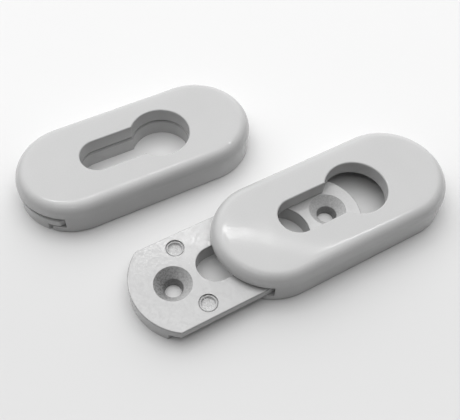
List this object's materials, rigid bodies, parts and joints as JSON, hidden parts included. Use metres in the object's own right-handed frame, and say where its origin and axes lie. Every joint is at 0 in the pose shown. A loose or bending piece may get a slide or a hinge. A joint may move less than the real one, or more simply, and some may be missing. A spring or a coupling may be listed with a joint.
{
  "type": "sliding euro profile escutcheons",
  "caption": "Oval sliding escutcheons for a euro profile lock cylinder: painted covers with a circle-and-slot cut-out over screw-on base plates, shown closed and part slid open.",
  "frame": {"origin": "centre of the closed unit's cylinder hole on the door plane", "axes": "+X along the closed unit from its slot end to its circle end, +Z away from the door"},
  "size_m": [0.1125, 0.0767, 0.01],
  "materials": {
    "cover_paint": "gloss light grey paint on a zinc die casting",
    "plate_paint": "satin light grey paint, slightly pebbled, on a zinc die casting",
    "pad_plastic": "moulded light grey nylon with a rough staked top"
  },
  "bodies": {
    "closed_base": {"closed_base_plate": "plate_paint", "closed_guide_pad_left": "pad_plastic", "closed_guide_pad_right": "pad_plastic"},
    "closed_cover": {"closed_cover": "cover_paint"},
    "open_base": {"open_base_plate": "plate_paint", "open_guide_pad_left": "pad_plastic", "open_guide_pad_right": "pad_plastic"},
    "open_cover": {"open_cover": "cover_paint"}
  },
  "joints": [
    {"name": "closed_cover_slide", "type": "slide", "parent": "closed_base", "child": "closed_cover", "axis": [1, 0, 0], "range_m": [0, 0.07]},
    {"name": "open_unit_lift", "type": "slide", "parent": "closed_base", "child": "open_base", "axis": [0, 0, 1], "range_m": [0, 0.03]},
    {"name": "open_cover_slide", "type": "slide", "parent": "open_base", "child": "open_cover", "axis": [0.9993, 0.0384, 0], "range_m": [-0.025, 0.045]}
  ]
}
